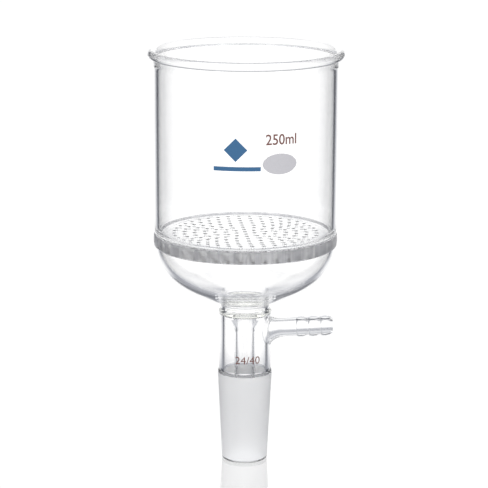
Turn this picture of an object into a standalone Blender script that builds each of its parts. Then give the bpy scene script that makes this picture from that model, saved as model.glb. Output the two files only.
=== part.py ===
"""Buchner funnel with a perforated plate and a vacuum side arm, in borosilicate glass.

The funnel is a stack of blown and drawn glass pieces on one vertical axis, fused where
they meet. From the top: a straight cup with a beaded rim, a drilled plate, a round bowl,
a ring seal that holds a drip tube inside a wider jacket tube, and a 24/40 ground cone.
A hose barb on a short arm leaves the jacket towards +X.

Units are metres, +Z is up, and the origin is the centre of the cone's end face.
Each glass piece is a closed solid of its own, a clearance away from its neighbours.
"""

import math

import bmesh
import bpy
from mathutils import Matrix, Vector
from mathutils.geometry import interpolate_bezier

CLEARANCE = 0.0003

# Ground cone: a standard 24/40 joint, 24 mm at its large end, 40 mm long, taper 1 in 10.
JOINT_LARGE_RADIUS = 0.012
JOINT_LENGTH = 0.040
JOINT_TAPER = 0.1
JOINT_SMALL_RADIUS = JOINT_LARGE_RADIUS - JOINT_LENGTH * JOINT_TAPER / 2
JOINT_BORE_SMALL_RADIUS = 0.0081
JOINT_LIP = 0.0005
JOINT_SHOULDER_HEIGHT = 0.0015

# Vacuum jacket: the wide tube around the drip tube.
JACKET_RADIUS = 0.0114
JACKET_BORE_RADIUS = 0.0093
JACKET_BASE_Z = JOINT_LENGTH + JOINT_SHOULDER_HEIGHT + CLEARANCE
JACKET_TOP_Z = 0.0670

# Ring seal: the thick collar where neck, jacket and drip tube are fused.
SEAL_RADIUS = 0.0117
SEAL_INNER_RADIUS = 0.0094
SEAL_HEIGHT = 0.0021
SEAL_BASE_Z = JACKET_TOP_Z + CLEARANCE
SEAL_TOP_Z = SEAL_BASE_Z + SEAL_HEIGHT

# Drip tube: hangs from the ring seal by its trumpet and ends inside the cone.
DRIP_RADIUS = 0.0047
DRIP_BORE_RADIUS = 0.00345
DRIP_TIP_Z = 0.0080
TRUMPET_RADIUS = SEAL_INNER_RADIUS - CLEARANCE
TRUMPET_HEIGHT = 0.0095
TRUMPET_TOP_Z = SEAL_TOP_Z - CLEARANCE

# Lower bowl: an oblate ellipsoid that runs on as a cone and meets the neck in a fillet.
BOWL_RADIUS = 0.0393
BOWL_DEPTH = 0.0250
BOWL_ARC_END = 0.9
BOWL_WALL = 0.0018
BOWL_FLOOR = 0.0024
NECK_RADIUS = 0.0108
NECK_FILLET = 0.0015
NECK_BASE_Z = SEAL_TOP_Z + CLEARANCE
BOWL_TOP_Z = 0.0982

# Perforated plate: a centre hole and seven rings of holes, in even counts.
PLATE_BASE_Z = BOWL_TOP_Z + CLEARANCE
PLATE_THICKNESS = 0.0055
PLATE_TOP_Z = PLATE_BASE_Z + PLATE_THICKNESS
PLATE_RADIUS = 0.0400
PLATE_BULGE = 0.0003
PLATE_SEAT_RADIUS = 0.0364
PLATE_SEAT_STEP = CLEARANCE
HOLE_RADIUS = 0.00075
HOLE_RINGS = 7
HOLE_RING_SPACING = 0.0045
HOLE_SPACING = 0.0050
HOLE_START_ANGLE = math.radians(-84.4)
HOLE_SIDES = 6

# Upper cylinder: the cup wall, with a thick foot and a beaded rim.
CUP_RADIUS = 0.0400
CUP_BORE_RADIUS = 0.0381
CUP_BASE_Z = PLATE_TOP_Z
FOOT_BORE_RADIUS = PLATE_SEAT_RADIUS + CLEARANCE
FOOT_HEIGHT = 0.0035
BEAD_HALF_WIDTH = 0.0019
BEAD_HALF_HEIGHT = 0.0019
BEAD_CENTRE_RADIUS = 0.0407
BEAD_CENTRE_Z = 0.1827
RIM_FLARE_Z = 0.1770

# Side arm and hose barb: a tube that climbs slightly away from the jacket.
ARM_TILT = math.radians(2.75)
ARM_AXIS_Z = 0.0597
ARM_RADIUS = 0.0041
ARM_BORE_RADIUS = 0.0027
ARM_ROOT_RADIUS = 0.0067
ARM_ROOT_BORE_RADIUS = 0.0040
ARM_ROOT_LENGTH = 0.0045
BARB_START = 0.0228
BARB_PITCH = 0.0054
BARB_COUNT = 3
BARB_CREST_RADIUS = 0.0046
BARB_VALLEY_RADIUS = 0.0039
BARB_TIP_RADIUS = 0.0035
BARB_TIP_BORE_RADIUS = 0.0025
BARB_CREST_SHARE = 0.3

# Marking spot: an oval of white enamel on the cup, for pencil notes.
SPOT_WIDTH = 0.0152
SPOT_HEIGHT = 0.0088
SPOT_CENTRE_Z = 0.1416
SPOT_ANGLE = math.radians(-69.1)
SPOT_THICKNESS = 0.0002

# How finely the round pieces are faceted.
BODY_SIDES = 60
NECK_SIDES = 36
ARM_SIDES = 24
CURVE_POINTS = 10
FILLET_POINTS = 4

CLEAR_GLASS = ("clear_glass", (0.93, 0.96, 0.96, 1.0), 0.03, 1.0)
FROSTED_GLASS = ("frosted_glass", (0.90, 0.91, 0.92, 1.0), 0.55, 0.7)
WHITE_ENAMEL = ("white_enamel", (0.78, 0.79, 0.80, 1.0), 0.45, 0.0)


def clear_scene():
    for item in list(bpy.data.objects):
        bpy.data.objects.remove(item, do_unlink=True)


def material(name, colour, roughness, transmission):
    made = bpy.data.materials.get(name)
    if made is None:
        made = bpy.data.materials.new(name)
        made.use_nodes = True
        shader = made.node_tree.nodes["Principled BSDF"]
        shader.inputs["Base Color"].default_value = colour
        shader.inputs["Roughness"].default_value = roughness
        shader.inputs["Metallic"].default_value = 0.0
        shader.inputs["Transmission Weight"].default_value = transmission
        shader.inputs["IOR"].default_value = 1.474
    return made


def add_object(name, bm, finish):
    """Turns a bmesh into a smooth-shaded object of the given finish."""
    bmesh.ops.recalc_face_normals(bm, faces=bm.faces)
    mesh = bpy.data.meshes.new(name)
    bm.to_mesh(mesh)
    bm.free()
    mesh.shade_smooth()
    mesh.set_sharp_from_angle(angle=math.radians(35))
    made = bpy.data.objects.new(name, mesh)
    made.data.materials.append(material(*finish))
    bpy.context.scene.collection.objects.link(made)
    return made


def add_cutter(name, bm):
    """A hidden solid that only serves a Boolean."""
    cutter = add_object(name, bm, CLEAR_GLASS)
    cutter.hide_render = True
    cutter.display_type = "WIRE"
    return cutter


def cut(target, cutter):
    modifier = target.modifiers.new("cut_" + cutter.name, "BOOLEAN")
    modifier.operation = "DIFFERENCE"
    modifier.solver = "EXACT"
    modifier.object = cutter


def turned(profile, sides, placement=Matrix.Identity(4), solid=False):
    """Spins an outline of (radius, height) points once round the Z axis.

    A hollow piece has a closed outline. A solid one has an open outline, from the edge of
    its bottom face to the edge of its top face, and both faces are filled in.
    """
    bm = bmesh.new()
    chain = [bm.verts.new((radius, 0.0, height)) for radius, height in profile]
    pairs = zip(chain, chain[1:] if solid else chain[1:] + chain[:1])
    edges = [bm.edges.new(pair) for pair in pairs]
    bmesh.ops.spin(
        bm,
        geom=chain + edges,
        cent=(0.0, 0.0, 0.0),
        axis=(0.0, 0.0, 1.0),
        angle=math.tau,
        steps=sides,
        use_merge=True,
    )
    if solid:
        bmesh.ops.holes_fill(bm, edges=[edge for edge in bm.edges if edge.is_boundary])
    bmesh.ops.transform(bm, matrix=placement, verts=bm.verts)
    return bm


def arc(centre, radius_x, radius_z, start, end, count):
    """Points on an elliptic arc in the (radius, height) plane, ends included."""
    points = []
    for i in range(count):
        angle = start + (end - start) * i / (count - 1)
        points.append((centre[0] + radius_x * math.cos(angle), centre[1] + radius_z * math.sin(angle)))
    return points


def upper_cylinder():
    """Cup wall: a straight tube, rolled over into a bead at the rim, on a thickened foot."""
    bead = arc(
        (BEAD_CENTRE_RADIUS, BEAD_CENTRE_Z),
        BEAD_HALF_WIDTH,
        BEAD_HALF_HEIGHT,
        math.radians(-105),
        math.radians(180),
        CURVE_POINTS,
    )
    foot = arc(
        (FOOT_BORE_RADIUS, CUP_BASE_Z + FOOT_HEIGHT),
        CUP_BORE_RADIUS - FOOT_BORE_RADIUS,
        FOOT_HEIGHT - CLEARANCE,
        0.0,
        math.radians(-90),
        FILLET_POINTS,
    )
    outline = [(FOOT_BORE_RADIUS, CUP_BASE_Z), (CUP_RADIUS, CUP_BASE_Z), (CUP_RADIUS, RIM_FLARE_Z)]
    outline += bead
    outline += [(CUP_BORE_RADIUS, RIM_FLARE_Z)]
    outline += foot
    add_object("upper_cylinder", turned(outline, BODY_SIDES), CLEAR_GLASS)


def hole_centres():
    """The centre hole, then rings at an even pitch, each with one hole at the start angle."""
    centres = [Vector((0.0, 0.0, 0.0))]
    for ring in range(1, HOLE_RINGS + 1):
        radius = ring * HOLE_RING_SPACING
        count = 2 * round(math.pi * radius / HOLE_SPACING)
        for i in range(count):
            angle = HOLE_START_ANGLE + math.tau * i / count
            centres.append(Vector((radius * math.cos(angle), radius * math.sin(angle), 0.0)))
    return centres


def perforated_plate():
    """Drilled disc whose edge is part of the outside wall and whose seat stands a step up."""
    shoulder_z = PLATE_TOP_Z - PLATE_SEAT_STEP
    middle_z = (PLATE_BASE_Z + shoulder_z) / 2
    outline = [
        (PLATE_RADIUS, PLATE_BASE_Z),
        (PLATE_RADIUS + PLATE_BULGE, middle_z),
        (PLATE_RADIUS, shoulder_z),
        (PLATE_SEAT_RADIUS, shoulder_z),
        (PLATE_SEAT_RADIUS, PLATE_TOP_Z),
    ]
    bm = turned(outline, BODY_SIDES, solid=True)
    plate = add_object("perforated_plate", bm, CLEAR_GLASS)

    drills = bmesh.new()
    drill_length = PLATE_THICKNESS * 2
    for centre in hole_centres():
        place = Matrix.Translation(centre + Vector((0.0, 0.0, middle_z)))
        bmesh.ops.create_cone(
            drills,
            cap_ends=True,
            segments=HOLE_SIDES,
            radius1=HOLE_RADIUS,
            radius2=HOLE_RADIUS,
            depth=drill_length,
            matrix=place,
        )
    cut(plate, add_cutter("plate_drills", drills))


def flowing(start, start_handle, end_handle, end, count):
    """Points on a smooth curve between two (radius, height) points, ends left out."""
    knots = [Vector((*point, 0.0)) for point in (start, start_handle, end_handle, end)]
    return [(point.x, point.y) for point in interpolate_bezier(*knots, count + 2)[1:-1]]


def bowl_outline(radius, depth, neck):
    """One side of the bowl from its top down to the neck: ellipse, tangent cone, fillet."""
    outline = arc((0.0, BOWL_TOP_Z), radius, depth, 0.0, -BOWL_ARC_END, CURVE_POINTS)
    slope = Vector((-radius * math.sin(BOWL_ARC_END), -depth * math.cos(BOWL_ARC_END))).normalized()
    cone_start = Vector(outline[-1])
    corner = cone_start + slope * ((neck - cone_start.x) / slope.x)
    cone_end = corner - slope * NECK_FILLET
    neck_top = corner + Vector((0.0, -NECK_FILLET))
    outline.append(tuple(cone_end))
    outline += flowing(cone_end, (cone_end + corner) / 2, (neck_top + corner) / 2, neck_top, FILLET_POINTS - 2)
    outline.append(tuple(neck_top))
    return outline


def lower_bowl():
    """Round chamber below the plate, ending in the open neck."""
    neck_bore = NECK_RADIUS - BOWL_WALL
    outside = bowl_outline(BOWL_RADIUS, BOWL_DEPTH, NECK_RADIUS)
    inside = bowl_outline(BOWL_RADIUS - BOWL_WALL, BOWL_DEPTH - BOWL_FLOOR, neck_bore)
    outside.append((NECK_RADIUS, NECK_BASE_Z))
    inside.append((neck_bore, NECK_BASE_Z))
    add_object("lower_bowl", turned(outside + inside[::-1], BODY_SIDES), CLEAR_GLASS)


def ring_seal():
    """Thick collar with a rounded outside, between the neck and the jacket."""
    middle = (SEAL_BASE_Z + SEAL_TOP_Z) / 2
    bulge = arc(
        (NECK_RADIUS - BOWL_WALL / 2, middle),
        SEAL_RADIUS - NECK_RADIUS + BOWL_WALL / 2,
        SEAL_HEIGHT / 2,
        math.radians(-90),
        math.radians(90),
        CURVE_POINTS,
    )
    outline = bulge + [(SEAL_INNER_RADIUS, SEAL_TOP_Z), (SEAL_INNER_RADIUS, SEAL_BASE_Z)]
    add_object("ring_seal", turned(outline, NECK_SIDES), CLEAR_GLASS)


def flare(narrow, wide, top_z):
    """Trumpet curve that opens from a narrow tube to a wide top, ends included."""
    base_z = top_z - TRUMPET_HEIGHT
    reach = wide - narrow
    start = (narrow, base_z)
    end = (wide, top_z)
    start_handle = (narrow, base_z + TRUMPET_HEIGHT * 0.32)
    end_handle = (wide - reach * 0.55, top_z - TRUMPET_HEIGHT * 0.33)
    return [start] + flowing(start, start_handle, end_handle, end, CURVE_POINTS - 4) + [end]


def drip_tube():
    """Inner tube with a trumpet-shaped top and a fire-polished tip."""
    wall = DRIP_RADIUS - DRIP_BORE_RADIUS
    outside = flare(DRIP_RADIUS, TRUMPET_RADIUS, TRUMPET_TOP_Z - wall)
    inside = flare(DRIP_BORE_RADIUS, TRUMPET_RADIUS, TRUMPET_TOP_Z)[::-1]
    outline = [(DRIP_RADIUS - wall / 3, DRIP_TIP_Z), (DRIP_RADIUS, DRIP_TIP_Z + wall / 3)]
    outline += outside
    outline += inside
    outline += [(DRIP_BORE_RADIUS, DRIP_TIP_Z + wall / 3), (DRIP_BORE_RADIUS + wall / 3, DRIP_TIP_Z)]
    add_object("drip_tube", turned(outline, NECK_SIDES), CLEAR_GLASS)


def vacuum_jacket():
    """Outer tube with a round port where the side arm joins."""
    outline = [
        (JACKET_BORE_RADIUS, JACKET_BASE_Z),
        (JACKET_RADIUS, JACKET_BASE_Z),
        (JACKET_RADIUS, JACKET_TOP_Z),
        (JACKET_BORE_RADIUS, JACKET_TOP_Z),
    ]
    jacket = add_object("vacuum_jacket", turned(outline, NECK_SIDES), CLEAR_GLASS)
    port = bmesh.new()
    bmesh.ops.create_cone(
        port,
        cap_ends=True,
        segments=ARM_SIDES,
        radius1=ARM_ROOT_BORE_RADIUS,
        radius2=ARM_ROOT_BORE_RADIUS,
        depth=JACKET_RADIUS * 2,
        matrix=arm_placement() @ Matrix.Translation((0.0, 0.0, JACKET_RADIUS * 1.4)),
    )
    cut(jacket, add_cutter("jacket_port", port))


def arm_placement():
    """Maps the arm's own Z axis to the tilted line that leaves the jacket towards +X."""
    lean = Matrix.Rotation(math.pi / 2 - ARM_TILT, 4, "Y")
    return Matrix.Translation((0.0, 0.0, ARM_AXIS_Z)) @ lean


def side_arm():
    """Short tube whose flared root is fused to the jacket."""
    root_start = JACKET_RADIUS * 0.6
    flare_end = JACKET_RADIUS + ARM_ROOT_LENGTH
    end = BARB_START - CLEARANCE
    outside = arc(
        (ARM_ROOT_RADIUS, flare_end),
        ARM_ROOT_RADIUS - ARM_RADIUS,
        ARM_ROOT_LENGTH,
        math.radians(270),
        math.pi,
        FILLET_POINTS + 2,
    )
    outline = [(ARM_ROOT_BORE_RADIUS, root_start), (ARM_ROOT_RADIUS, root_start)]
    outline += outside
    outline += [(ARM_RADIUS, end), (ARM_BORE_RADIUS, end), (ARM_BORE_RADIUS, flare_end)]
    outline += [(ARM_ROOT_BORE_RADIUS, JACKET_RADIUS + CLEARANCE)]
    arm = add_object("side_arm", turned(outline, ARM_SIDES, arm_placement()), CLEAR_GLASS)
    saddle = bmesh.new()
    bmesh.ops.create_cone(
        saddle,
        cap_ends=True,
        segments=NECK_SIDES,
        radius1=JACKET_RADIUS + CLEARANCE,
        radius2=JACKET_RADIUS + CLEARANCE,
        depth=JACKET_TOP_Z,
        matrix=Matrix.Translation((0.0, 0.0, ARM_AXIS_Z)),
    )
    cut(arm, add_cutter("arm_saddle", saddle))


def hose_barb():
    """Serrated end for a vacuum hose: each barb rises quickly and tapers to the next valley."""
    outline = [(ARM_BORE_RADIUS, BARB_START), (BARB_VALLEY_RADIUS, BARB_START)]
    for i in range(BARB_COUNT):
        valley = BARB_START + i * BARB_PITCH
        last = i == BARB_COUNT - 1
        end_radius = BARB_TIP_RADIUS if last else BARB_VALLEY_RADIUS
        crest = valley + BARB_PITCH * BARB_CREST_SHARE
        outline += [
            ((BARB_VALLEY_RADIUS + BARB_CREST_RADIUS * 2) / 3, valley + BARB_PITCH * BARB_CREST_SHARE / 3),
            (BARB_CREST_RADIUS, crest),
            ((end_radius + BARB_CREST_RADIUS * 2) / 3, (crest + valley + BARB_PITCH) / 2),
            (end_radius, valley + BARB_PITCH),
        ]
    outline.append((BARB_TIP_BORE_RADIUS, BARB_START + BARB_COUNT * BARB_PITCH))
    add_object("hose_barb", turned(outline, ARM_SIDES, arm_placement()), CLEAR_GLASS)


def ground_cone():
    """Hollow 24/40 cone, ground outside, with a rounded shoulder up to the jacket tube."""
    shoulder_top = JOINT_LENGTH + JOINT_SHOULDER_HEIGHT
    shoulder = arc(
        (JACKET_RADIUS, JOINT_LENGTH),
        JOINT_LARGE_RADIUS - JACKET_RADIUS,
        JOINT_SHOULDER_HEIGHT,
        0.0,
        math.pi / 2,
        FILLET_POINTS,
    )
    lip_radius = JOINT_SMALL_RADIUS + JOINT_LIP * JOINT_TAPER / 2
    outline = [(JOINT_SMALL_RADIUS - JOINT_LIP, 0.0), (lip_radius, JOINT_LIP)]
    outline += shoulder
    outline += [
        (JACKET_BORE_RADIUS, shoulder_top),
        (JACKET_BORE_RADIUS, JOINT_LENGTH),
        (JOINT_BORE_SMALL_RADIUS, JOINT_LIP),
        (JOINT_BORE_SMALL_RADIUS + JOINT_LIP, 0.0),
    ]
    add_object("ground_cone", turned(outline, NECK_SIDES), FROSTED_GLASS)


def marking_spot():
    """Oval patch of enamel, bent round the cup and standing a clearance off the glass."""
    bm = bmesh.new()
    bmesh.ops.create_grid(bm, x_segments=8, y_segments=4, size=1.0)
    for vert in bm.verts:
        across, up = vert.co.x, vert.co.y
        vert.co.x = across * math.sqrt(1 - up * up / 2)
        vert.co.y = up * math.sqrt(1 - across * across / 2)
    extruded = bmesh.ops.extrude_face_region(bm, geom=bm.faces[:], use_keep_orig=True)
    outer = {item for item in extruded["geom"] if isinstance(item, bmesh.types.BMVert)}
    for vert in bm.verts:
        radius = CUP_RADIUS + CLEARANCE + (SPOT_THICKNESS if vert in outer else 0.0)
        angle = SPOT_ANGLE + vert.co.x * SPOT_WIDTH / 2 / CUP_RADIUS
        height = SPOT_CENTRE_Z + vert.co.y * SPOT_HEIGHT / 2
        vert.co = Vector((radius * math.cos(angle), radius * math.sin(angle), height))
    add_object("marking_spot", bm, WHITE_ENAMEL)


def main():
    clear_scene()
    upper_cylinder()
    perforated_plate()
    lower_bowl()
    ring_seal()
    drip_tube()
    vacuum_jacket()
    side_arm()
    hose_barb()
    ground_cone()
    marking_spot()


main()
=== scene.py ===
"""Looks of the glass buchner funnel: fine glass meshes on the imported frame, in a bright-field studio."""

import math

import bmesh
import bpy
from mathutils import Matrix, Vector
from mathutils.geometry import interpolate_bezier


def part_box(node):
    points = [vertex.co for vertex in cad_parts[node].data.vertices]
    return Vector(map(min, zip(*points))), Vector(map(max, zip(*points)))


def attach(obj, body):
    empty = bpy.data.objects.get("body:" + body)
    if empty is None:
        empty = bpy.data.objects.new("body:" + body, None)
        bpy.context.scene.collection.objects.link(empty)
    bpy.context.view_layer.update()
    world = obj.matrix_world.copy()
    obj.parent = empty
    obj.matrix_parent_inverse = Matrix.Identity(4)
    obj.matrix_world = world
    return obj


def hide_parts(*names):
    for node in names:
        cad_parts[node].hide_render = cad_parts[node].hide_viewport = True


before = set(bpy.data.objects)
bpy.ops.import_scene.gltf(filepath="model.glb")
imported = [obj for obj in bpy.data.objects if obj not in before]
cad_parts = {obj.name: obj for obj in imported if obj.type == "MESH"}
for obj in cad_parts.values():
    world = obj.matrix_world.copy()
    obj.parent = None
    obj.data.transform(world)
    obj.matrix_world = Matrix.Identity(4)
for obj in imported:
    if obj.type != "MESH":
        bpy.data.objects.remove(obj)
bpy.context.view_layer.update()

# ---------------------------------------------------------------- sizes
# Heights and the bowl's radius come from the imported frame. All lengths are in metres.
# Gap between neighbouring pieces of glass, too thin to see.
SEAM = 0.00002
# A ring this close to each end of a long wall keeps the wall's shading straight between them.
WALL_SUPPORT = 0.0004
SIDES = 192
ARM_SIDES = 96
# Edges sharper than this stay sharp, in degrees.
CREASE_ANGLE = 40
BODY_CREASE_ANGLE = 30

cup_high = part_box("upper_cylinder")[1]
plate_low, plate_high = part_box("perforated_plate")
bowl_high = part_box("lower_bowl")[1]
seal_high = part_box("ring_seal")[1]
drip_low, drip_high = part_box("drip_tube")
jacket_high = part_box("vacuum_jacket")[1]
cone_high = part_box("ground_cone")[1]

CUP_RADIUS = 0.0400
CUP_BORE = 0.0381
BEAD_RADIUS = 0.0019
BEAD_CENTRE = (0.0407, cup_high.z - BEAD_RADIUS)
BEAD_END_ANGLE = -105
# Above this height the cup's wall opens out to the bead.
RIM_FLARE_Z = cup_high.z - 0.0076
# How far the wall's curves follow their end directions, inside and outside.
FLARE_INNER_START = 0.0022
FLARE_INNER_END = 0.0020
FLARE_OUTER_START = 0.0016
NOTCH_INWARD = 0.0001
NOTCH_DOWNWARD = 0.0008

PLATE_TOP = plate_high.z
PLATE_BASE = plate_low.z
PLATE_RADIUS = 0.0400
PLATE_BULGE = 0.0003
PLATE_GROOVE = 0.00012
GROOVE_HEIGHT = 0.0002
# Short slopes where the plate was fused to the wall above it and the bowl below it.
FUSED_SLOPE = 0.0003
BASE_UNDERCUT = 0.0004
SEAT_RADIUS = 0.0364
FOOT_HEIGHT = 0.0035
HOLE_RADIUS = 0.00052
HOLE_ROUNDING = 0.00035
HOLE_RINGS = 7
HOLE_RING_SPACING = 0.0045
HOLE_SPACING = 0.0050
HOLE_START_ANGLE = math.radians(-84.4)
HOLE_SIDES = 20
# All the holes lie inside this radius, and the foot of the wall outside it.
DRILLED_RADIUS = (HOLE_RINGS + 0.5) * HOLE_RING_SPACING
# Upright part of a face's normal: above the first the face is flat, below the second it is a wall.
FLAT_NORMAL = 0.99999
WALL_NORMAL = 0.05

BOWL_RADIUS = bowl_high.x
BOWL_DEPTH = 0.0250
BOWL_ARC_END = 51.6
BOWL_WALL = 0.0018
BOWL_FLOOR = 0.0024
NECK_RADIUS = 0.0108
NECK_FILLET = 0.0015

JACKET_RADIUS = 0.0114
JACKET_BORE = 0.0093
SEAL_RADIUS = 0.0117
SEAL_CORE = NECK_RADIUS - 0.0006
# Ripples round the seal's lower edge: how many, how strong, and where the first begins.
SEAL_RIPPLES = (
    (19, 1.0, 0.0),
    (31, 0.7, 1.3),
    (7, 0.5, 0.0),
)
RIPPLE_HEIGHT = 0.00016
RIPPLE_LIFT = 2.2
RIPPLE_WIDENING = 0.006

DRIP_RADIUS = 0.0047
DRIP_BORE = 0.00345
TRUMPET_HEIGHT = 0.0095
# How far the trumpet's curve follows its end directions, as shares of its height and reach.
TRUMPET_START = 0.32
TRUMPET_END = 0.33
TRUMPET_SPREAD = 0.55

JOINT_RADIUS = 0.0120
JOINT_LENGTH = 0.040
JOINT_SMALL_RADIUS = 0.010
JOINT_BORE_SMALL = 0.0081
# Growth of the cone's radius with its height.
JOINT_TAPER = 0.05
JOINT_LIP = 0.0005
# The ground zone: its lower end, its upper end, and how far inside the small radius it may lie.
GROUND_BASE = 0.0011
GROUND_TOP = JOINT_LENGTH + 0.0003
GROUND_INSET = 0.0002

ARM_TILT = math.radians(2.75)
ARM_AXIS_Z = 0.0597
ARM_RADIUS = 0.0041
ARM_BORE = 0.0027
BARB_START = 0.0228
BARB_PITCH = 0.0054
BARB_COUNT = 3
BARB_CREST = 0.0046
BARB_VALLEY = 0.0039
BARB_TIP = 0.0035
BARB_TIP_BORE = 0.0025
BARB_ROUNDING = 0.0001
BARB_HEEL = 0.0003
# A barb's shape along its length, as shares of the pitch.
BARB_CREST_PLACE = 0.35
BARB_RISE_START = 0.02
BARB_RISE_END = 0.2
BARB_FALL_START = 0.3
BARB_FALL_END = 0.85
BARB_FALL_STOP = 0.97


# ---------------------------------------------------------------- mesh helpers
def add_piece(name, bm, *finishes, sharp=CREASE_ANGLE):
    """Makes a smooth-shaded piece of a mesh and fixes it to the funnel's body."""
    bmesh.ops.recalc_face_normals(bm, faces=bm.faces)
    mesh = bpy.data.meshes.new(name)
    bm.to_mesh(mesh)
    bm.free()
    mesh.shade_smooth()
    mesh.set_sharp_from_angle(angle=math.radians(sharp))
    piece = bpy.data.objects.new(name, mesh)
    bpy.context.scene.collection.objects.link(piece)
    for finish in finishes:
        mesh.materials.append(finish)
    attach(piece, "root")
    return piece


def turned(outline, placement=Matrix.Identity(4), sides=SIDES):
    """Spins a closed outline of (radius, height) points once round the Z axis."""
    bm = bmesh.new()
    ring = [bm.verts.new((radius, 0.0, height)) for radius, height in outline]
    edges = [bm.edges.new((ring[i - 1], ring[i])) for i in range(len(ring))]
    bmesh.ops.spin(
        bm,
        geom=ring + edges,
        cent=(0.0, 0.0, 0.0),
        axis=(0.0, 0.0, 1.0),
        angle=math.tau,
        steps=sides,
        use_merge=True,
    )
    bmesh.ops.transform(bm, matrix=placement, verts=bm.verts)
    return bm


def arc(centre, radius_x, radius_z, start, end, count):
    """A count of points on an elliptic arc in the (radius, height) plane, angles in degrees."""
    points = []
    for i in range(count):
        angle = math.radians(start + (end - start) * i / (count - 1))
        points.append((centre[0] + radius_x * math.cos(angle), centre[1] + radius_z * math.sin(angle)))
    return points


def flowing(start, start_handle, end_handle, end, count):
    """A count of points on a smooth curve between two points, ends left out."""
    knots = [Vector((*point, 0.0)) for point in (start, start_handle, end_handle, end)]
    return [(point.x, point.y) for point in interpolate_bezier(*knots, count + 2)[1:-1]]


def circle(bm, centre, radius, height, sides):
    """Adds a ring of points and returns it."""
    verts = []
    for i in range(sides):
        angle = math.tau * i / sides
        corner = (centre.x + radius * math.cos(angle), centre.y + radius * math.sin(angle), height)
        verts.append(bm.verts.new(corner))
    return verts


def bridge(bm, lower, upper):
    """Joins two closed rings of the same length with a band of faces."""
    for i in range(len(lower)):
        bm.faces.new((lower[i - 1], lower[i], upper[i], upper[i - 1]))


# ---------------------------------------------------------------- materials
GLASS_INDEX = 1.474
FINE_GRAIN = 3000.0
WAVE_DETAIL = 3.0

# Upright grey streaks of painted shade on the plate's edge, with the roughness and grain there.
STREAK_SCALE = 420.0
STREAK_STRETCH = 0.01
STREAK_DETAIL = 4.0
# The part of the noise's range that runs from dark to light.
STREAK_RANGE = (0.42, 0.58)
STREAK_ROUGHNESS = 0.3
STREAK_GRAIN_DEPTH = 0.00001

ENAMEL_ROUGHNESS = 0.5
ENAMEL_GRAIN = 2500.0
ENAMEL_GRAIN_DEPTH = 0.000008
ENAMEL_MOTTLE = 0.1


def shader_material(name):
    made = bpy.data.materials.new(name)
    made.use_nodes = True
    return made, made.node_tree, made.node_tree.nodes["Principled BSDF"]


def add_noise(tree, scale, stretch, detail):
    """Noise fixed to the object, drawn out along the funnel's axis when stretch is under 1."""
    place = tree.nodes.new("ShaderNodeTexCoord")
    squash = tree.nodes.new("ShaderNodeMapping")
    squash.inputs["Scale"].default_value = (1.0, 1.0, stretch)
    noise = tree.nodes.new("ShaderNodeTexNoise")
    noise.inputs["Scale"].default_value = scale
    noise.inputs["Detail"].default_value = detail
    tree.links.new(place.outputs["Object"], squash.inputs["Vector"])
    tree.links.new(squash.outputs["Vector"], noise.inputs["Vector"])
    return noise


def add_waves(tree, shader, scale, stretch, distance):
    """Uneven surface: slow waves as in drawn tube, or a fine grain, by the scale."""
    noise = add_noise(tree, scale, stretch, WAVE_DETAIL)
    bump = tree.nodes.new("ShaderNodeBump")
    bump.inputs["Strength"].default_value = 1.0
    bump.inputs["Distance"].default_value = distance
    tree.links.new(noise.outputs["Fac"], bump.inputs["Height"])
    tree.links.new(bump.outputs["Normal"], shader.inputs["Normal"])
    return noise


def blend_colours(tree, shader, factor, low, high):
    """Colours a shader between two colours by a socket that runs from 0 to 1."""
    blend = tree.nodes.new("ShaderNodeMix")
    blend.data_type = "RGBA"
    blend.inputs["A"].default_value = (*low, 1.0)
    blend.inputs["B"].default_value = (*high, 1.0)
    tree.links.new(factor, blend.inputs["Factor"])
    tree.links.new(blend.outputs["Result"], shader.inputs["Base Color"])


def glass(
    name,
    roughness=0.0,
    tint=(1.0, 1.0, 1.0),
    wave_scale=60.0,
    stretch=0.3,
    wave=0.00002,
    clearness=1.0,
):
    """Glass whose surface is clear or matt, with waves or grain of a given depth in metres."""
    made, tree, shader = shader_material(name)
    shader.inputs["Base Color"].default_value = (*tint, 1.0)
    shader.inputs["Transmission Weight"].default_value = clearness
    shader.inputs["IOR"].default_value = GLASS_INDEX
    shader.inputs["Roughness"].default_value = roughness
    add_waves(tree, shader, wave_scale, stretch, wave)
    return made


def streaked(name, dark, light):
    """Glass, slightly rough and grained, with upright grey streaks in its colour: painted shade that
    stands in for the holes seen dark through the plate's edge.
    """
    made = glass(name, STREAK_ROUGHNESS, light, FINE_GRAIN, 1.0, STREAK_GRAIN_DEPTH)
    tree = made.node_tree
    noise = add_noise(tree, STREAK_SCALE, STREAK_STRETCH, STREAK_DETAIL)
    spread = tree.nodes.new("ShaderNodeMapRange")
    spread.inputs["From Min"].default_value = STREAK_RANGE[0]
    spread.inputs["From Max"].default_value = STREAK_RANGE[1]
    tree.links.new(noise.outputs["Fac"], spread.inputs["Value"])
    blend_colours(tree, tree.nodes["Principled BSDF"], spread.outputs["Result"], dark, light)
    return made


def enamel(name, colour):
    """Matt fired enamel, slightly mottled."""
    made, tree, shader = shader_material(name)
    shader.inputs["Roughness"].default_value = ENAMEL_ROUGHNESS
    noise = add_waves(tree, shader, ENAMEL_GRAIN, 1.0, ENAMEL_GRAIN_DEPTH)
    darker = [part * (1 - ENAMEL_MOTTLE) for part in colour]
    lighter = [min(part * (1 + ENAMEL_MOTTLE), 1.0) for part in colour]
    blend_colours(tree, shader, noise.outputs["Fac"], darker, lighter)
    return made


clear_glass = glass("clear_glass")
seal_glass = glass(
    "seal_glass",
    tint=(0.97, 0.975, 0.935),
    wave_scale=900.0,
    stretch=1.0,
    wave=0.00003,
)
ground_glass = glass(
    "ground_glass",
    roughness=0.42,
    tint=(0.95, 0.95, 0.95),
    wave_scale=FINE_GRAIN,
    stretch=1.0,
    clearness=0.5,
)
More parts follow.
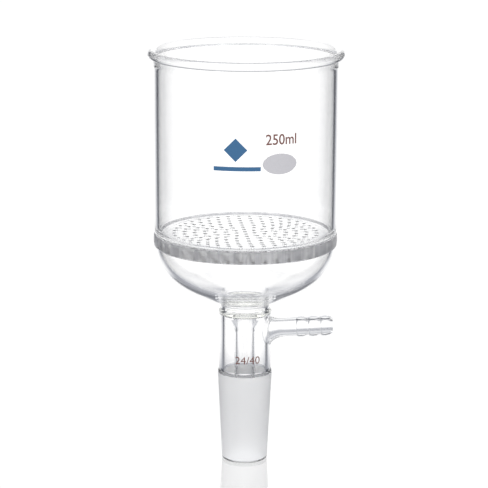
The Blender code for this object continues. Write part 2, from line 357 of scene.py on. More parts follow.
# The rounded mouths of the plate's holes are matt, as drilled glass is, and tinted dark: painted shade
# that stands in for the dark rims their rounding refracts.
drilled_glass_painted_shade = glass(
    "drilled_glass_painted_shade",
    roughness=0.5,
    tint=(0.16, 0.16, 0.165),
    wave_scale=FINE_GRAIN,
    stretch=1.0,
    clearness=0.6,
)
# The plate's edge gets grey streaks of painted shade, which stand in for the holes seen dark through it.
streaked_glass_painted_shade = streaked("streaked_glass_painted_shade", dark=(0.58, 0.58, 0.61), light=(1.0, 1.0, 1.0))
white_enamel = enamel("white_enamel", (0.415, 0.41, 0.435))
brown_enamel = enamel("brown_enamel", (0.13, 0.046, 0.036))
blue_enamel = enamel("blue_enamel", (0.010, 0.085, 0.200))


# ---------------------------------------------------------------- cup, plate and bowl
def rim_outline():
    """The cup's wall from its inside below the rim, over the bead, to its outside."""
    bead = arc(BEAD_CENTRE, BEAD_RADIUS, BEAD_RADIUS, 180, BEAD_END_ANGLE, 40)
    bead_inside = bead[0]
    notch = bead[-1]
    inner = flowing(
        (CUP_BORE, RIM_FLARE_Z),
        (CUP_BORE, RIM_FLARE_Z + FLARE_INNER_START),
        (bead_inside[0], bead_inside[1] - FLARE_INNER_END),
        bead_inside,
        10,
    )
    outer = flowing(
        notch,
        (notch[0] - NOTCH_INWARD, notch[1] - NOTCH_DOWNWARD),
        (CUP_RADIUS, RIM_FLARE_Z + FLARE_OUTER_START),
        (CUP_RADIUS, RIM_FLARE_Z),
        12,
    )
    support_z = RIM_FLARE_Z - WALL_SUPPORT
    inner = [(CUP_BORE, support_z), (CUP_BORE, RIM_FLARE_Z)] + inner
    return inner + bead + outer + [(CUP_RADIUS, RIM_FLARE_Z), (CUP_RADIUS, support_z)]


def edge_outline():
    """The plate's edge, which bulges a little between two fine grooves where it was fused."""
    middle = (PLATE_TOP + PLATE_BASE) / 2
    half_height = (PLATE_TOP - PLATE_BASE) / 2 - GROOVE_HEIGHT
    band = arc((PLATE_RADIUS, middle), PLATE_BULGE, half_height, 90, -90, 12)
    groove = PLATE_RADIUS - PLATE_GROOVE
    wall_end = PLATE_TOP + FUSED_SLOPE
    outline = [(CUP_RADIUS, wall_end + WALL_SUPPORT), (CUP_RADIUS, wall_end), (groove, PLATE_TOP)] + band
    return outline + [(groove - BASE_UNDERCUT, PLATE_BASE)]


def hole_centres():
    """One hole in the middle and the rest on even rings round it."""
    centres = [Vector((0.0, 0.0, 0.0))]
    for ring in range(1, HOLE_RINGS + 1):
        radius = ring * HOLE_RING_SPACING
        count = 2 * round(math.pi * radius / HOLE_SPACING)
        for i in range(count):
            angle = HOLE_START_ANGLE + math.tau * i / count
            centres.append(Vector((radius * math.cos(angle), radius * math.sin(angle), 0.0)))
    return centres


def stack_of_rings(bm, centre, levels, sides):
    """Bridges circles of (radius, height) and returns the rim edges of the first and last."""
    rings = [circle(bm, centre, radius, height, sides) for radius, height in levels]
    for lower, upper in zip(rings, rings[1:]):
        bridge(bm, lower, upper)
    rims = []
    for ring in (rings[0], rings[-1]):
        rims.append([bm.edges.get((ring[i - 1], ring[i])) for i in range(sides)])
    return rims


def bowl_outline(radius, depth, neck, top):
    """One side of the bowl from its top down to the neck: ellipse, tangent cone, fillet."""
    outline = arc((0.0, top), radius, depth, 0, -BOWL_ARC_END, 48)
    end = math.radians(BOWL_ARC_END)
    slope = Vector((-radius * math.sin(end), -depth * math.cos(end))).normalized()
    cone_start = Vector(outline[-1])
    corner = cone_start + slope * ((neck - cone_start.x) / slope.x)
    cone_end = corner - slope * NECK_FILLET
    neck_top = corner + Vector((0.0, -NECK_FILLET))
    outline.append(tuple(cone_end))
    outline += flowing(cone_end, (cone_end + corner) / 2, (neck_top + corner) / 2, neck_top, 8)
    outline.append(tuple(neck_top))
    return outline


def body_outline():
    """The fused glass from the foot inside the cup, over the rim, down and up to the plate."""
    foot = arc((SEAT_RADIUS, PLATE_TOP + FOOT_HEIGHT), CUP_BORE - SEAT_RADIUS, FOOT_HEIGHT, -90, 0, 18)
    foot.append((CUP_BORE, PLATE_TOP + FOOT_HEIGHT + WALL_SUPPORT))
    neck_base = seal_high.z + SEAM
    neck_bore = NECK_RADIUS - BOWL_WALL
    bowl_bore = BOWL_RADIUS - BOWL_WALL
    bowl_top = PLATE_BASE - FUSED_SLOPE
    outside = bowl_outline(BOWL_RADIUS, BOWL_DEPTH, NECK_RADIUS, bowl_top)
    inside = bowl_outline(bowl_bore, BOWL_DEPTH - BOWL_FLOOR, neck_bore, bowl_top)
    outline = foot + rim_outline() + edge_outline() + outside
    outline += [(NECK_RADIUS, neck_base), (neck_bore, neck_base)] + inside[::-1]
    outline.append((bowl_bore - FUSED_SLOPE, PLATE_BASE))
    return outline


def make_body():
    """Cup, drilled plate and bowl, fused into one glass: a turned skin and two drilled faces."""
    bm = bmesh.new()
    middle = Vector((0.0, 0.0, 0.0))
    top_edges, bottom_edges = stack_of_rings(bm, middle, body_outline(), SIDES)
    rim = HOLE_RADIUS + HOLE_ROUNDING
    levels = arc((rim, PLATE_TOP - HOLE_ROUNDING), HOLE_ROUNDING, HOLE_ROUNDING, 90, 180, 6)
    levels += arc((rim, PLATE_BASE + HOLE_ROUNDING), HOLE_ROUNDING, HOLE_ROUNDING, 180, 270, 6)
    for centre in hole_centres():
        top_rim, bottom_rim = stack_of_rings(bm, centre, levels, HOLE_SIDES)
        top_edges += top_rim
        bottom_edges += bottom_rim
    bmesh.ops.triangle_fill(bm, use_beauty=True, edges=top_edges)
    bmesh.ops.triangle_fill(bm, use_beauty=True, edges=bottom_edges)
    finishes = (clear_glass, drilled_glass_painted_shade, streaked_glass_painted_shade)
    piece = add_piece("cup_plate_and_bowl", bm, *finishes, sharp=BODY_CREASE_ANGLE)
    for face in piece.data.polygons:
        face.use_smooth = abs(face.normal.z) < FLAT_NORMAL
        # Hole mouths get the glass tinted dark with painted shade, and the plate's edge gets the glass
        # with streaks of painted shade.
        if is_hole_mouth(face):
            face.material_index = finishes.index(drilled_glass_painted_shade)
        elif is_plate_edge(face):
            face.material_index = finishes.index(streaked_glass_painted_shade)
    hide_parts("upper_cylinder", "perforated_plate", "lower_bowl")


def is_hole_mouth(face):
    """Whether a face is part of the rounded edge at either end of a hole."""
    depth = min(abs(face.center.z - PLATE_TOP), abs(face.center.z - PLATE_BASE))
    reach = math.hypot(face.center.x, face.center.y)
    sloping = WALL_NORMAL < abs(face.normal.z) < FLAT_NORMAL
    return depth < HOLE_ROUNDING and sloping and reach < DRILLED_RADIUS


def is_plate_edge(face):
    """Whether a face is part of the plate's bulging outer edge."""
    reach = math.hypot(face.center.x, face.center.y)
    return reach > PLATE_RADIUS - PLATE_GROOVE and PLATE_BASE < face.center.z < PLATE_TOP


# ---------------------------------------------------------------- seal and drip tube
def make_seal():
    """Collar of melted glass, its lower edge rippled where it was worked in the flame."""
    base = jacket_high.z + SEAM
    top = seal_high.z
    middle = (base + top) / 2
    bulge = arc((SEAL_CORE, middle), SEAL_RADIUS - SEAL_CORE, (top - base) / 2, -90, 90, 24)
    inner = NECK_RADIUS - BOWL_WALL
    bm = turned(bulge + [(inner, top), (inner, base)])
    for vert in bm.verts:
        angle = math.atan2(vert.co.y, vert.co.x)
        reach = math.hypot(vert.co.x, vert.co.y)
        ripple = sum(strength * math.sin(count * angle + first) for count, strength, first in SEAL_RIPPLES)
        lower = max(0.0, (middle - vert.co.z) / (middle - base))
        outer = max(0.0, (reach - SEAL_CORE) / (SEAL_RADIUS - SEAL_CORE))
        vert.co.z += RIPPLE_HEIGHT * lower * outer * (RIPPLE_LIFT + ripple)
        vert.co.x *= 1 + RIPPLE_WIDENING * outer * lower * ripple
        vert.co.y *= 1 + RIPPLE_WIDENING * outer * lower * ripple
    piece = add_piece("seal_collar", bm, seal_glass)
    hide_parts("ring_seal")


def flare(narrow, wide, top):
    """Trumpet curve that opens from a narrow tube to a wide top, ends included."""
    base = top - TRUMPET_HEIGHT
    reach = wide - narrow
    start = (narrow, base)
    end = (wide, top)
    start_handle = (narrow, base + TRUMPET_HEIGHT * TRUMPET_START)
    end_handle = (wide - reach * TRUMPET_SPREAD, top - TRUMPET_HEIGHT * TRUMPET_END)
    return [start] + flowing(start, start_handle, end_handle, end, 26) + [end]


def make_drip():
    """Inner tube, from its trumpet top down to a rounded tip inside the cone."""
    wall = DRIP_RADIUS - DRIP_BORE
    wide = NECK_RADIUS - BOWL_WALL - SEAM
    outside = flare(DRIP_RADIUS, wide, drip_high.z - wall)
    inside = flare(DRIP_BORE, wide, drip_high.z)[::-1]
    tip = drip_low.z
    support_z = tip + wall / 2 + WALL_SUPPORT
    outline = [(DRIP_BORE, support_z)]
    outline += arc((DRIP_RADIUS - wall / 2, tip + wall / 2), wall / 2, wall / 2, -180, 0, 12)
    outline.append((DRIP_RADIUS, support_z))
    piece = add_piece("drip_stem", turned(outline + outside + inside), clear_glass)
    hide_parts("drip_tube")


# ---------------------------------------------------------------- jacket and arm
# The jacket and its arm are one skin inside and one outside. Each skin is a tube whose grid
# has a rectangular window on the arm's side, and the window holds rings that run from its
# border to the fillet's edge, over the fillet and out along the arm.
WINDOW_COLUMNS = 48
WINDOW_ROWS = 32
WINDOW_RINGS = 8
FILLET_RINGS = 14
WINDOW_LOW_Z = ARM_AXIS_Z - 0.0090
COLUMN_ANGLE = math.tau / SIDES

# A fillet's reach along the jacket and then along the arm. Each is its reach beside the arm,
# and how much shorter it is above the arm, or longer below it.
OUTER_FILLET = (
    (0.0026, 0.0012),
    (0.0060, 0.0015),
)
INNER_FILLET = (
    (0.0034, 0.0011),
    (0.0068, 0.0015),
)
FILLET_PULL = 0.55


def arm_placement():
    """Turns a piece made upright to lie along the side arm."""
    lean = Matrix.Rotation(math.pi / 2 - ARM_TILT, 4, "Y")
    return Matrix.Translation((0.0, 0.0, ARM_AXIS_Z)) @ lean


def window_border():
    """Column and row of each point on the window's border, once round."""
    half = WINDOW_COLUMNS // 2
    border = [(column, 0) for column in range(-half, half)]
    border += [(half, row) for row in range(WINDOW_ROWS)]
    border += [(column, WINDOW_ROWS) for column in range(half, -half, -1)]
    border += [(-half, row) for row in range(WINDOW_ROWS, 0, -1)]
    return border


def window_row_z(row, top):
    """Height of a row of the window, whose last row is at the jacket's top."""
    return WINDOW_LOW_Z + row * ((top - WINDOW_LOW_Z) / WINDOW_ROWS)


def on_tube(radius, across, height):
    """Point on the jacket's wall, at a distance round the wall from the arm's side."""
    angle = across / radius
    return Vector((radius * math.cos(angle), radius * math.sin(angle), height))


def tube_grid(bm, radius, base, top):
    """Builds a tube with its window left open, and returns its points by column and row."""
    half = WINDOW_COLUMNS // 2
    columns = range(-SIDES // 2, SIDES // 2)
    grid = {}
    for column in columns:
        across = column * COLUMN_ANGLE * radius
        grid[column, -1] = bm.verts.new(on_tube(radius, across, base))
        for row in range(WINDOW_ROWS + 1):
            in_window = abs(column) < half and 0 < row < WINDOW_ROWS
            if not in_window:
                grid[column, row] = bm.verts.new(on_tube(radius, across, window_row_z(row, top)))
    for column in columns:
        after = column + 1 if column + 1 < SIDES // 2 else -SIDES // 2
        for row in range(-1, WINDOW_ROWS):
            in_window = -half <= column < half and row >= 0
            if not in_window:
                low = (grid[column, row], grid[after, row])
                high = (grid[after, row + 1], grid[column, row + 1])
                bm.faces.new(low + high)
    return grid


def spoke(radius, arm_radius, fillet, across, height):
    """Points from one place on the window's border, over the fillet, to the arm's end."""
    along = Vector((math.cos(ARM_TILT), 0.0, math.sin(ARM_TILT)))
    upward = Vector((-math.sin(ARM_TILT), 0.0, math.cos(ARM_TILT)))
    hit_z = ARM_AXIS_Z + radius * math.tan(ARM_TILT)
    border = Vector((across * radius, height - hit_z))

    # Both skins turn round the arm by the same angles, so that their end rings line up.
    outer_hit_z = ARM_AXIS_Z + JACKET_RADIUS * math.tan(ARM_TILT)
    turn = math.atan2(height - outer_hit_z, across * JACKET_RADIUS)
    cosine = math.cos(turn)
    sine = math.sin(turn)
    tube_reach, arm_reach = (beside - shorter * sine for beside, shorter in fillet)

    edge = Vector((
        radius * math.asin(arm_radius * cosine / radius) + tube_reach * cosine,
        arm_radius * sine / math.cos(ARM_TILT) + tube_reach * sine,
    ))
    spots = [border.lerp(edge, ring / WINDOW_RINGS) for ring in range(1, WINDOW_RINGS + 1)]
    points = [on_tube(radius, spot.x, hit_z + spot.y) for spot in spots]

    fillet_start = points[-1]
    swing = edge.x / radius
    inward = -Vector((-math.sin(swing) * cosine, math.cos(swing) * cosine, sine))
    depth = math.sqrt(radius**2 - (arm_radius * cosine) ** 2)
    meets = (depth + arm_radius * sine * math.sin(ARM_TILT)) / math.cos(ARM_TILT)
    side = Vector((0.0, cosine, 0.0)) + upward * sine
    axis_point = Vector((0.0, 0.0, ARM_AXIS_Z)) + side * arm_radius
    fillet_end = axis_point + along * (meets + arm_reach)
    points += interpolate_bezier(
        fillet_start,
        fillet_start + inward * tube_reach * FILLET_PULL,
        fillet_end - along * arm_reach * FILLET_PULL,
        fillet_end,
        FILLET_RINGS + 1,
    )[1:]
    points.append(axis_point + along * (BARB_START - SEAM))
    return points


def tee_skin(bm, radius, arm_radius, fillet, base, top):
    """Builds one skin and returns its bottom, top and arm end rings."""
    grid = tube_grid(bm, radius, base, top)
    rings = [[grid[place] for place in window_border()]]
    rings += [[] for _ in range(WINDOW_RINGS + FILLET_RINGS + 1)]
    for column, row in window_border():
        points = spoke(radius, arm_radius, fillet, column * COLUMN_ANGLE, window_row_z(row, top))
        for ring, point in zip(rings[1:], points):
            ring.append(bm.verts.new(point))
    for outer, inner in zip(rings, rings[1:]):
        bridge(bm, outer, inner)
    columns = range(-SIDES // 2, SIDES // 2)
    bottom_ring = [grid[column, -1] for column in columns]
    top_ring = [grid[column, WINDOW_ROWS] for column in columns]
    return bottom_ring, top_ring, rings[-1]


def make_jacket():
    """Jacket tube and plain side arm, blown into one glass with a soft root."""
    bm = bmesh.new()
    base = cone_high.z + SEAM
    top = jacket_high.z
    outside = tee_skin(bm, JACKET_RADIUS, ARM_RADIUS, OUTER_FILLET, base, top)
    inside = tee_skin(bm, JACKET_BORE, ARM_BORE, INNER_FILLET, base, top)
    for outer, inner in zip(outside, inside):
        bridge(bm, outer, inner)
    piece = add_piece("jacket_and_arm", bm, clear_glass)
    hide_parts("vacuum_jacket", "side_arm")


def make_barb():
    """Hose end: barbs that rise steeply and fall away gently towards the tip."""
    start = BARB_START + SEAM
    outline = [(ARM_BORE, start), (BARB_VALLEY, start)]
    for i in range(BARB_COUNT):
        valley = BARB_START + i * BARB_PITCH
        end_radius = BARB_TIP if i == BARB_COUNT - 1 else BARB_VALLEY
        crest = valley + BARB_PITCH * BARB_CREST_PLACE
        outline += flowing(
            (BARB_VALLEY, valley),
            (BARB_CREST - BARB_ROUNDING, valley + BARB_PITCH * BARB_RISE_START),
            (BARB_CREST, crest - BARB_PITCH * BARB_RISE_END),
            (BARB_CREST, crest),
            10,
        )
        outline += flowing(
            (BARB_CREST, crest),
            (BARB_CREST, crest + BARB_PITCH * BARB_FALL_START),
            (end_radius + BARB_HEEL, valley + BARB_PITCH * BARB_FALL_END),
            (end_radius, valley + BARB_PITCH * BARB_FALL_STOP),
            14,
        )
    end = BARB_START + BARB_COUNT * BARB_PITCH
    outline.append((BARB_TIP - BARB_ROUNDING, end))
    outline.append((BARB_TIP_BORE, end))
    piece = add_piece("barbed_end", turned(outline, arm_placement(), ARM_SIDES), clear_glass)
    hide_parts("hose_barb")


def make_cone():
    """Ground cone: matt outside, clear at its shoulder, its lip and inside."""
    shoulder = arc(
        (JACKET_RADIUS, JOINT_LENGTH),
        JOINT_RADIUS - JACKET_RADIUS,
        cone_high.z - JOINT_LENGTH,
        0,
        90,
        10,
    )
    lip = arc((JOINT_SMALL_RADIUS - JOINT_LIP, JOINT_LIP), JOINT_LIP, JOINT_LIP, -90, 0, 6)
    outer = lip + [(JOINT_SMALL_RADIUS + GROUND_BASE * JOINT_TAPER, GROUND_BASE)]
    inner = [
        (JACKET_BORE, cone_high.z),
        (JACKET_BORE, JOINT_LENGTH),
        (JOINT_BORE_SMALL, JOINT_LIP),
        (JOINT_BORE_SMALL + JOINT_LIP, 0.0),
    ]
    finishes = (clear_glass, ground_glass)
    piece = add_piece("joint_cone", turned(outer + shoulder + inner), *finishes)
    for face in piece.data.polygons:
        reach = math.hypot(face.center.x, face.center.y)
        if reach > JOINT_SMALL_RADIUS - GROUND_INSET and GROUND_BASE < face.center.z < GROUND_TOP:
            face.material_index = finishes.index(ground_glass)
    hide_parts("ground_cone")


# ---------------------------------------------------------------- fired enamel marks
# Each mark has a size, and a place on its tube by angle and height. A weight above 0 thickens
# the font's strokes.
PRINT_GAP = 0.00003
PRINT_THICKNESS = 0.00003
PRINT_STRIP = 0.0004
# Points of a print that are nearer than this become one, before and after it is cut.
SAME_POINT = 0.000001
SMALLEST_EDGE = 0.000004

CAPACITY_SIZE = (0.0138, 0.0046)
CAPACITY_WEIGHT = 0.012
CAPACITY_ANGLE = math.radians(-68.1)
CAPACITY_Z = 0.1520
JOINT_MARK_SIZE = (0.0112, 0.0034)
JOINT_MARK_WEIGHT = 0.0
JOINT_MARK_ANGLE = math.radians(-83.5)
JOINT_MARK_Z = 0.0481
DIAMOND_HALF = 0.0050
DIAMOND_ANGLE = math.radians(-96.2)
DIAMOND_Z = 0.1477
BAR_HALF_WIDTH = 0.0100
BAR_HALF_HEIGHT = 0.0009
BAR_ANGLE = math.radians(-95.3)
BAR_Z = 0.1397


def wrap_print(name, bm, radius, angle, height, finish):
    """Cuts a flat print into upright strips, bends it round a tube and adds it."""
    bmesh.ops.remove_doubles(bm, verts=bm.verts, dist=SAME_POINT)
    low = min(vert.co.x for vert in bm.verts)
    high = max(vert.co.x for vert in bm.verts)
    count = int((high - low) / PRINT_STRIP)
    for i in range(1, count):
        place = low + (high - low) * i / count
        bmesh.ops.bisect_plane(
            bm,
            geom=bm.verts[:] + bm.edges[:] + bm.faces[:],
            plane_co=(place, 0.0, 0.0),
            plane_no=(1.0, 0.0, 0.0),
        )
    bmesh.ops.dissolve_degenerate(bm, dist=SMALLEST_EDGE, edges=bm.edges)
    for vert in bm.verts:
        swing = angle + vert.co.x / radius
        reach = radius + PRINT_GAP + vert.co.z
        vert.co = Vector((reach * math.cos(swing), reach * math.sin(swing), height + vert.co.y))
    piece = add_piece(name, bm, finish)


def lettering(words, size, weight):
    """Flat solid of Blender's own font, scaled to a width and a height, centred."""
    curve = bpy.data.curves.new("lettering", "FONT")
    curve.body = words
    curve.extrude = 0.5
    curve.offset = weight
    curve.resolution_u = 4
    writer = bpy.data.objects.new("lettering", curve)
    bpy.context.scene.collection.objects.link(writer)
    bpy.context.view_layer.update()
    written = writer.evaluated_get(bpy.context.evaluated_depsgraph_get())
    mesh = bpy.data.meshes.new_from_object(written)
    bpy.data.objects.remove(writer)
    bm = bmesh.new()
    bm.from_mesh(mesh)
    lows = [min(vert.co[axis] for vert in bm.verts) for axis in range(3)]
    highs = [max(vert.co[axis] for vert in bm.verts) for axis in range(3)]
    sizes = (*size, PRINT_THICKNESS)
    middles = (0.5, 0.5, 0.0)
    for vert in bm.verts:
        for axis in range(3):
            share = (vert.co[axis] - lows[axis]) / (highs[axis] - lows[axis])
            vert.co[axis] = (share - middles[axis]) * sizes[axis]
    return bm


def flat_shape(corners):
    """Flat solid with the given outline, a print's thickness high."""
    bm = bmesh.new()
    base = [bm.verts.new((x, y, 0.0)) for x, y in corners]
    top = [bm.verts.new((x, y, PRINT_THICKNESS)) for x, y in corners]
    bridge(bm, base, top)
    bm.faces.new(base)
    bm.faces.new(top)
    return bm


def make_marks():
    """Enamel spot, capacity, joint size, and a plain diamond over a plain bar."""
    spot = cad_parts["marking_spot"]
    spot.data.materials.clear()
    spot.data.materials.append(white_enamel)

    wrap_print(
        "capacity_mark",
        lettering("250ml", CAPACITY_SIZE, CAPACITY_WEIGHT),
        CUP_RADIUS,
        CAPACITY_ANGLE,
        CAPACITY_Z,
        brown_enamel,
    )
    wrap_print(
        "joint_size_mark",
        lettering("24/40", JOINT_MARK_SIZE, JOINT_MARK_WEIGHT),
        JACKET_RADIUS,
        JOINT_MARK_ANGLE,
        JOINT_MARK_Z,
        brown_enamel,
    )
    diamond = flat_shape([
        (0.0, -DIAMOND_HALF),
        (DIAMOND_HALF, 0.0),
        (0.0, DIAMOND_HALF),
        (-DIAMOND_HALF, 0.0),
    ])
    wrap_print(
        "plain_diamond",
        diamond,
        CUP_RADIUS,
        DIAMOND_ANGLE,
        DIAMOND_Z,
        blue_enamel,
    )
    bar = flat_shape([
        (-BAR_HALF_WIDTH, -BAR_HALF_HEIGHT),
        (BAR_HALF_WIDTH, -BAR_HALF_HEIGHT),
        (BAR_HALF_WIDTH, BAR_HALF_HEIGHT),
        (-BAR_HALF_WIDTH, BAR_HALF_HEIGHT),
    ])
    wrap_print("plain_bar", bar, CUP_RADIUS, BAR_ANGLE, BAR_Z, blue_enamel)


# ---------------------------------------------------------------- studio
CAMERA_TARGET = Vector((-0.0006, 0.0, 0.0983))
CAMERA_DISTANCE = 0.925
CAMERA_PITCH = math.radians(13.2)
CAMERA_ROLL = math.radians(0.25)
CAMERA_LENS = 154.9
CAMERA_NEAR = 0.01
CAMERA_FAR = 20.0

# The floor is seen only directly. Through the glass, the sheet is seen in its place.
FLOOR_HALF_SIZE = 6.0
FLOOR_DROP = 0.0002
FLOOR_WHITE = 1.12
FLOOR_GLOSS = 0.44
FLOOR_ROUGHNESS = 0.08

TENT_RADIUS = 2.0
TENT_COLUMNS = 160
TENT_ROWS = 90
# The tent's light is tinted where it is dim and white where it is bright.
TENT_TINT = Vector((0.80, 0.85, 1.0))
# The window is this much taller than it is wide, above and below its middle.
TENT_STRETCH_UP = 1.95
TENT_STRETCH_DOWN = 1.3

# Brightness of the window behind the funnel, by the angle from its middle in degrees.
WINDOW_LIGHT = (
    (0, 1.2),
    (9, 1.15),
    (11.5, 1.05),
    (14.4, 0.92),
    (17.4, 0.75),
    (20.8, 0.48),
    (22.0, 0.40),
    (23.5, 0.05),
    (180, 0.05),
)

# Brightness of the room round the camera, by the same angle.
ROOM_LIGHT = (
    (0, 0.0),
    (25, 0.1),
    (57, 0.12),
    (63, 0.5),
    (72, 0.85),
    (90, 1.0),
    (120, 1.2),
    (150, 1.75),
    (180, 1.95),
)

# Brightness of the light overhead, by the angle above the view's axis.
OVERHEAD_LIGHT = (
    (0, 0.0),
    (56, 0.1),
    (66, 0.6),
    (90, 0.8),
    (180, 0.8),
)

# The white sheet under and behind the funnel, seen through the glass and in reflections. It
# widens away from the camera, its brightness falls off towards its edges, and it is dimmer
# near the funnel, most of all just behind it.
SHEET_DROP = 0.002
SHEET_FRONT = -0.3
SHEET_BACK = 1.85
SHEET_HALF_WIDTH = 0.11
SHEET_SPREAD = 0.413
SHEET_COLUMNS = 80
SHEET_ROWS = 90
SHEET_ACROSS = (
    (0.0, 1.12),
    (0.4, 1.1),
    (0.5, 1.05),
    (0.62, 0.92),
    (0.76, 0.75),
    (0.92, 0.46),
    (0.98, 0.4),
    (1.04, 0.05),
)
SHEET_ALONG = (
    (-1.0, 0.7),
    (0.04, 0.7),
    (0.07, 0.5),
    (0.10, 0.42),
    (0.13, 0.5),
    (0.155, 0.8),
    (0.175, 1.0),
    (2.0, 1.0),
)

# A plain bright panel that only reflections see, so that the floor mirrors an even white.
PANEL_DISTANCE = 1.8
PANEL_SIZE = 0.5
PANEL_LIGHT = 1.15

# Light goes round inside the rim's bead and the seal many times. With too few bounces it is
# cut off there, and they turn black.
GLASS_BOUNCES = 128
CLEAR_BOUNCES = 32


def make_camera():
    data = bpy.data.cameras.new("camera")
    data.lens = CAMERA_LENS
    data.clip_start = CAMERA_NEAR
    data.clip_end = CAMERA_FAR
    camera = bpy.data.objects.new("camera", data)
    bpy.context.scene.collection.objects.link(camera)
    back = Vector((0.0, -math.cos(CAMERA_PITCH), math.sin(CAMERA_PITCH)))
    camera.location = CAMERA_TARGET + back * CAMERA_DISTANCE
    camera.rotation_mode = "QUATERNION"
    aim = (-back).to_track_quat("-Z", "Y").to_matrix()
    camera.rotation_quaternion = (aim @ Matrix.Rotation(CAMERA_ROLL, 3, "Z")).to_quaternion()
    bpy.context.scene.camera = camera
    return camera


def plain_object(name, bm):
    """Makes an object that isn't a piece of the funnel."""
    mesh = bpy.data.meshes.new(name)
    bm.to_mesh(mesh)
    bm.free()
    made = bpy.data.objects.new(name, mesh)
    bpy.context.scene.collection.objects.link(made)
    return made


def emitting(name, strength):
    """Makes a material that shines, and returns it with its tree, light and output."""
    made = bpy.data.materials.new(name)
    made.use_nodes = True
    tree = made.node_tree
    tree.nodes.clear()
    out = tree.nodes.new("ShaderNodeOutputMaterial")
    light = tree.nodes.new("ShaderNodeEmission")
    light.inputs["Strength"].default_value = strength
    tree.links.new(light.outputs["Emission"], out.inputs["Surface"])
    made.cycles.emission_sampling = "NONE"
    return made, tree, light, out


def make_floor():
    bm = bmesh.new()
    bmesh.ops.create_grid(bm, x_segments=1, y_segments=1, size=FLOOR_HALF_SIZE)
    floor = plain_object("floor", bm)
    floor.location = (0.0, 0.0, -FLOOR_DROP)
    finish, tree, light, out = emitting("white_floor", FLOOR_WHITE)
    light.inputs["Color"].default_value = (1.0, 1.0, 1.0, 1.0)
    gloss = tree.nodes.new("ShaderNodeBsdfGlossy")
    gloss.inputs["Roughness"].default_value = FLOOR_ROUGHNESS
    mix = tree.nodes.new("ShaderNodeMixShader")
    mix.inputs["Fac"].default_value = FLOOR_GLOSS
    tree.links.new(light.outputs["Emission"], mix.inputs[1])
    tree.links.new(gloss.outputs["BSDF"], mix.inputs[2])
    tree.links.new(mix.outputs["Shader"], out.inputs["Surface"])
    floor.data.materials.append(finish)
    floor.visible_transmission = False
    floor.visible_glossy = False
    floor.visible_diffuse = False


def read_off(table, place):
    """Straight-line reading of a table of (place, value) pairs."""
    for (start, low), (end, high) in zip(table, table[1:]):
        if place <= end:
            return low + (high - low) * (place - start) / (end - start)
    return table[-1][1]


def paint_light(thing, brightness):
    """Makes a mesh shine, with a brightness for each of its points painted on it."""
    paint = thing.data.color_attributes.new("light", "FLOAT_COLOR", "POINT")
    white = Vector((1.0, 1.0, 1.0))
    for vert, painted in zip(thing.data.vertices, paint.data):
        light = brightness(vert.co)
        colour = TENT_TINT.lerp(white, min(light, 1.0)) * light
        painted.color = (*colour, 1.0)
    finish, tree, light, _ = emitting(thing.name + "_light", 1.0)
    painted_light = tree.nodes.new("ShaderNodeVertexColor")
    painted_light.layer_name = "light"
    tree.links.new(painted_light.outputs["Color"], light.inputs["Color"])
    thing.data.materials.append(finish)


def tent_brightness(place):
    """Brightness of the tent at a place in the camera's own axes, where -Z is straight ahead."""
    facing = place.normalized()
    angle = math.degrees(math.acos(max(-1.0, min(1.0, -facing.z))))
    flat = max(math.hypot(facing.x, facing.y), 0.000001)
    stretch = TENT_STRETCH_UP if facing.y > 0 else TENT_STRETCH_DOWN
    reach = angle * math.hypot(facing.x, facing.y / stretch) / flat
    overhead = read_off(OVERHEAD_LIGHT, angle * max(facing.y, 0.0) / flat)
    return max(read_off(WINDOW_LIGHT, reach), read_off(ROOM_LIGHT, angle), overhead)


def make_tent(camera):
    """Round light tent: a bright window behind the funnel, a dark ring, and a lit room.

    It hangs from the camera and tilts with it, so every view has the same light behind the
    funnel. A studio that stood still would look different from the sides and from above.
    """
    bm = bmesh.new()
    bmesh.ops.create_uvsphere(bm, u_segments=TENT_COLUMNS, v_segments=TENT_ROWS, radius=TENT_RADIUS)
    tent = plain_object("light_tent", bm)
    tent.parent = camera
    tent.location = (0.0, 0.0, -CAMERA_DISTANCE)
    paint_light(tent, tent_brightness)


def sheet_half_width(y):
    """Half the sheet's width at a distance behind the funnel."""
    return SHEET_HALF_WIDTH + SHEET_SPREAD * max(y, 0.0)


def sheet_brightness(place):
    """Brightness of the sheet at a place in its own axes, where +Y is away from the camera."""
    share = abs(place.x) / sheet_half_width(place.y)
    return read_off(SHEET_ACROSS, share) * read_off(SHEET_ALONG, place.y)


def hang(thing, camera, placed):
    """Hangs a thing from the camera, at a place given in the funnel's frame."""
    camera_matrix = Matrix.LocRotScale(camera.location, camera.rotation_quaternion, None)
    thing.parent = camera
    thing.matrix_local = camera_matrix.inverted() @ placed


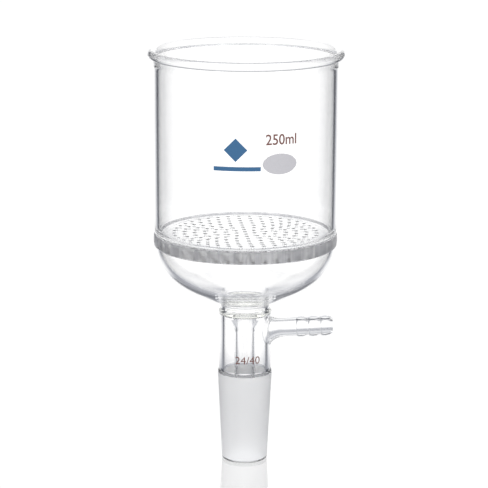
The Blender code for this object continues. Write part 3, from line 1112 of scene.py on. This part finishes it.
def make_sheet(camera):
    """White sheet under and behind the funnel, which hangs from the camera as the tent does."""
    edge = SHEET_ACROSS[-1][0]
    bm = bmesh.new()
    rows = []
    for j in range(SHEET_ROWS + 1):
        y = SHEET_FRONT + (SHEET_BACK - SHEET_FRONT) * j / SHEET_ROWS
        half = edge * sheet_half_width(y)
        row = []
        for i in range(SHEET_COLUMNS + 1):
            x = half * (2 * i / SHEET_COLUMNS - 1)
            row.append(bm.verts.new((x, y, 0.0)))
        rows.append(row)
    for near, far in zip(rows, rows[1:]):
        for i in range(SHEET_COLUMNS):
            bm.faces.new((near[i], near[i + 1], far[i + 1], far[i]))
    sheet = plain_object("white_sheet", bm)
    hang(sheet, camera, Matrix.Translation((0.0, 0.0, -SHEET_DROP)))
    sheet.visible_camera = False
    paint_light(sheet, sheet_brightness)


def make_panel(camera):
    """Upright white panel behind the funnel, which hangs from the camera too."""
    bm = bmesh.new()
    bmesh.ops.create_grid(bm, x_segments=1, y_segments=1, size=PANEL_SIZE)
    panel = plain_object("reflected_panel", bm)
    upright = Matrix.Rotation(math.radians(90), 4, "X")
    hang(panel, camera, Matrix.Translation((0.0, PANEL_DISTANCE, PANEL_SIZE)) @ upright)
    panel.visible_camera = False
    panel.visible_transmission = False
    panel.visible_diffuse = False
    finish, _, light, _ = emitting("panel_light", PANEL_LIGHT)
    light.inputs["Color"].default_value = (1.0, 1.0, 1.0, 1.0)
    panel.data.materials.append(finish)


def make_studio():
    """Floor, camera and lights, in a dark world that adds nothing."""
    make_floor()
    camera = make_camera()
    make_tent(camera)
    make_sheet(camera)
    make_panel(camera)
    bpy.context.scene.world = bpy.data.worlds.new("studio")


def set_light_paths():
    scene = bpy.context.scene
    scene.view_settings.view_transform = "Standard"
    scene.cycles.max_bounces = GLASS_BOUNCES
    scene.cycles.transmission_bounces = GLASS_BOUNCES
    scene.cycles.glossy_bounces = GLASS_BOUNCES
    scene.cycles.transparent_max_bounces = CLEAR_BOUNCES


make_body()
make_seal()
make_drip()
make_jacket()
make_barb()
make_cone()
make_marks()
make_studio()
set_light_paths()
